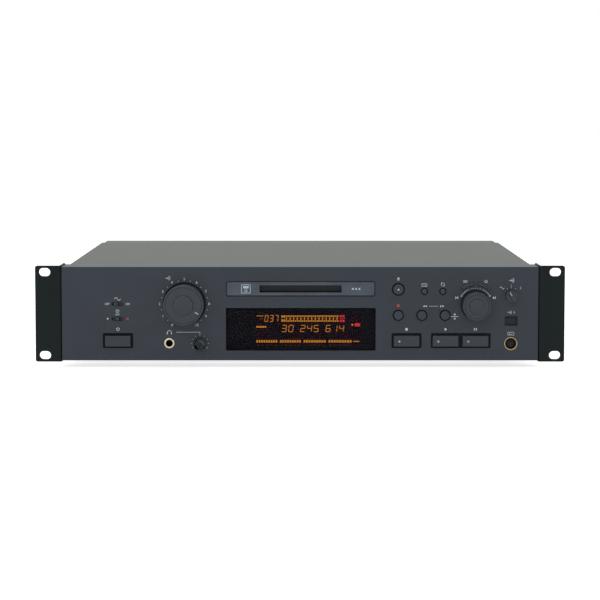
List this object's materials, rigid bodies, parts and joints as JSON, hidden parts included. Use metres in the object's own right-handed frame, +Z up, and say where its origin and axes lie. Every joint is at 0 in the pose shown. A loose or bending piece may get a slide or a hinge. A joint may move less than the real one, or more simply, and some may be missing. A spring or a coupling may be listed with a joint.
{
  "type": "minidisc deck",
  "caption": "Rack-mount cartridge disc recorder with a slot, display window, level knob, track knob, keys and rack ears over a folded steel case",
  "frame": {"origin": "under the middle of the whole object, on the surface that its feet stand on", "axes": "+X to the right seen from the front, +Y from the front panel to the back, +Z up"},
  "size_m": [0.4826, 0.284, 0.094],
  "materials": {
    "panel_plastic": "dark blue-grey painted moulding, fine texture",
    "cover_paint": "dark grey textured powder coat on folded sheet steel",
    "ear_paint": "near-black satin paint on folded steel",
    "zinc_steel": "zinc-plated sheet steel",
    "rear_paint": "dark grey satin paint on sheet steel",
    "frame_metal": "dark grey anodised, finely brushed",
    "door_plastic": "dark moulded plastic",
    "window_acrylic": "smoked acrylic, high gloss",
    "tube_glass": "flat fluorescent display tube",
    "board_laminate": "green solder-masked glass laminate",
    "switch_plastic": "black moulded plastic",
    "key_plastic": "dark grey moulded keys, satin",
    "knob_plastic": "dark grey moulded knobs, satin",
    "shaft_steel": "turned steel",
    "socket_nickel": "plated turned metal",
    "screw_steel": "black oxide steel screws",
    "foot_rubber": "black moulded rubber",
    "motor_steel": "drawn steel motor cases",
    "turntable_plastic": "white moulded turntable",
    "core_iron": "varnished laminated core"
  },
  "bodies": {
    "root": {"ac_inlet": "switch_plastic", "case_screws": "screw_steel", "chassis_pan": "zinc_steel", "disc_motor": "motor_steel", "display_tube": "tube_glass", "display_window": "window_acrylic", "ear_screws": "screw_steel", "feet": "foot_rubber", "front_bezel": "panel_plastic", "front_board": "board_laminate", "input_pot": "switch_plastic", "jog_encoder": "switch_plastic", "key_switches": "switch_plastic", "keyboard_socket": "switch_plastic", "main_board": "board_laminate", "mech_deck": "zinc_steel", "optical_in_socket": "switch_plastic", "phones_jack": "switch_plastic", "phones_jack_nut": "socket_nickel", "phones_pot": "switch_plastic", "phono_sockets": "socket_nickel", "power_switch": "switch_plastic", "rack_ear_left": "ear_paint", "rack_ear_right": "ear_paint", "rear_panel": "rear_paint", "selector_switch": "switch_plastic", "sled_motor": "motor_steel", "sled_rails": "shaft_steel", "slide_switches": "switch_plastic", "slot_frame": "frame_metal", "top_cover": "cover_paint", "transformer": "core_iron"},
    "power_key": {"power_button": "key_plastic"},
    "stop_key": {"stop_button": "key_plastic"},
    "play_key": {"play_button": "key_plastic"},
    "ready_key": {"ready_button": "key_plastic"},
    "eject_key": {"eject_button": "key_plastic"},
    "display_key": {"display_button": "key_plastic"},
    "play_mode_key": {"play_mode_button": "key_plastic"},
    "record_key": {"record_button": "key_plastic"},
    "search_back_key": {"search_back_button": "key_plastic"},
    "search_forward_key": {"search_forward_button": "key_plastic"},
    "edit_key": {"edit_button": "key_plastic"},
    "yes_key": {"yes_button": "key_plastic"},
    "input_control": {"input_knob": "knob_plastic", "input_shaft": "shaft_steel"},
    "phones_control": {"phones_knob": "knob_plastic"},
    "selector_control": {"selector_knob": "knob_plastic"},
    "jog_sleeve": {"jog_rotor": "switch_plastic"},
    "jog_control": {"jog_knob": "knob_plastic", "jog_shaft": "shaft_steel"},
    "pitch_switch": {"pitch_slider": "key_plastic"},
    "timer_switch": {"timer_slider": "key_plastic"},
    "slot_flap": {"slot_door": "door_plastic"},
    "optical_flap": {"optical_shutter": "door_plastic"},
    "disc_holder": {"cartridge_holder": "zinc_steel"},
    "disc_spindle": {"turntable": "turntable_plastic"},
    "sled": {"pickup_sled": "switch_plastic", "head_arm": "zinc_steel"},
    "drive_screw": {"lead_screw": "shaft_steel"}
  },
  "joints": [
    {"name": "power_push", "type": "slide", "parent": "root", "child": "power_key", "axis": [0, 1, 0], "range_m": [0, 0.0024], "stiffness_N_per_m": 500},
    {"name": "stop_push", "type": "slide", "parent": "root", "child": "stop_key", "axis": [0, 1, 0], "range_m": [0, 0.001], "stiffness_N_per_m": 500},
    {"name": "play_push", "type": "slide", "parent": "root", "child": "play_key", "axis": [0, 1, 0], "range_m": [0, 0.001], "stiffness_N_per_m": 500},
    {"name": "ready_push", "type": "slide", "parent": "root", "child": "ready_key", "axis": [0, 1, 0], "range_m": [0, 0.001], "stiffness_N_per_m": 500},
    {"name": "eject_push", "type": "slide", "parent": "root", "child": "eject_key", "axis": [0, 1, 0], "range_m": [0, 0.001], "stiffness_N_per_m": 500},
    {"name": "display_push", "type": "slide", "parent": "root", "child": "display_key", "axis": [0, 1, 0], "range_m": [0, 0.001], "stiffness_N_per_m": 500},
    {"name": "play_mode_push", "type": "slide", "parent": "root", "child": "play_mode_key", "axis": [0, 1, 0], "range_m": [0, 0.001], "stiffness_N_per_m": 500},
    {"name": "record_push", "type": "slide", "parent": "root", "child": "record_key", "axis": [0, 1, 0], "range_m": [0, 0.001], "stiffness_N_per_m": 500},
    {"name": "search_back_push", "type": "slide", "parent": "root", "child": "search_back_key", "axis": [0, 1, 0], "range_m": [0, 0.001], "stiffness_N_per_m": 500},
    {"name": "search_forward_push", "type": "slide", "parent": "root", "child": "search_forward_key", "axis": [0, 1, 0], "range_m": [0, 0.001], "stiffness_N_per_m": 500},
    {"name": "edit_push", "type": "slide", "parent": "root", "child": "edit_key", "axis": [0, 1, 0], "range_m": [0, 0.001], "stiffness_N_per_m": 500},
    {"name": "yes_push", "type": "slide", "parent": "root", "child": "yes_key", "axis": [0, 1, 0], "range_m": [0, 0.001], "stiffness_N_per_m": 500},
    {"name": "input_turn", "type": "hinge", "parent": "root", "child": "input_control", "pos_m": [-0.1054, -0.128, 0.05915], "axis": [0, 1, 0], "range_deg": [-270, 30]},
    {"name": "phones_turn", "type": "hinge", "parent": "root", "child": "phones_control", "pos_m": [-0.0913, -0.128, 0.0227], "axis": [0, 1, 0], "range_deg": [-120, 120]},
    {"name": "selector_turn", "type": "hinge", "parent": "root", "child": "selector_control", "pos_m": [0.1925, -0.128, 0.0665], "axis": [0, 1, 0], "range_deg": [0, 60]},
    {"name": "jog_turn", "type": "hinge", "parent": "root", "child": "jog_sleeve", "pos_m": [0.16, -0.128, 0.0581], "axis": [0, 1, 0], "continuous": true},
    {"name": "jog_push", "type": "slide", "parent": "jog_sleeve", "child": "jog_control", "axis": [0, 1, 0], "range_m": [0, 0.0006], "stiffness_N_per_m": 800},
    {"name": "pitch_slide", "type": "slide", "parent": "root", "child": "pitch_switch", "axis": [1, 0, 0], "range_m": [0, 0.0025]},
    {"name": "timer_slide", "type": "slide", "parent": "root", "child": "timer_switch", "axis": [1, 0, 0], "range_m": [-0.0025, 0.0025]},
    {"name": "slot_door_swing", "type": "hinge", "parent": "root", "child": "slot_flap", "pos_m": [0.0005, -0.1224, 0.0774], "axis": [1, 0, 0], "range_deg": [0, 85], "stiffness_Nm_per_rad": 0.0008},
    {"name": "optical_shutter_swing", "type": "hinge", "parent": "root", "child": "optical_flap", "pos_m": [0.1925, -0.1264, 0.0462], "axis": [1, 0, 0], "range_deg": [0, 85], "stiffness_Nm_per_rad": 0.0002},
    {"name": "holder_drop", "type": "slide", "parent": "root", "child": "disc_holder", "axis": [0, 0, -1], "range_m": [0, 0.0042]},
    {"name": "turntable_spin", "type": "hinge", "parent": "root", "child": "disc_spindle", "pos_m": [0.0005, -0.075, 0.0657], "axis": [0, 0, 1], "continuous": true},
    {"name": "sled_travel", "type": "slide", "parent": "root", "child": "sled", "axis": [0, 1, 0], "range_m": [0, 0.018]},
    {"name": "lead_screw_turn", "type": "hinge", "parent": "root", "child": "drive_screw", "pos_m": [0.0275, -0.062, 0.0583], "axis": [0, 1, 0], "range_deg": [0, 2165]}
  ],
  "couplings": [
    {"joint": "lead_screw_turn", "follows": "sled_travel", "rad_per_m": 2094.4}
  ]
}
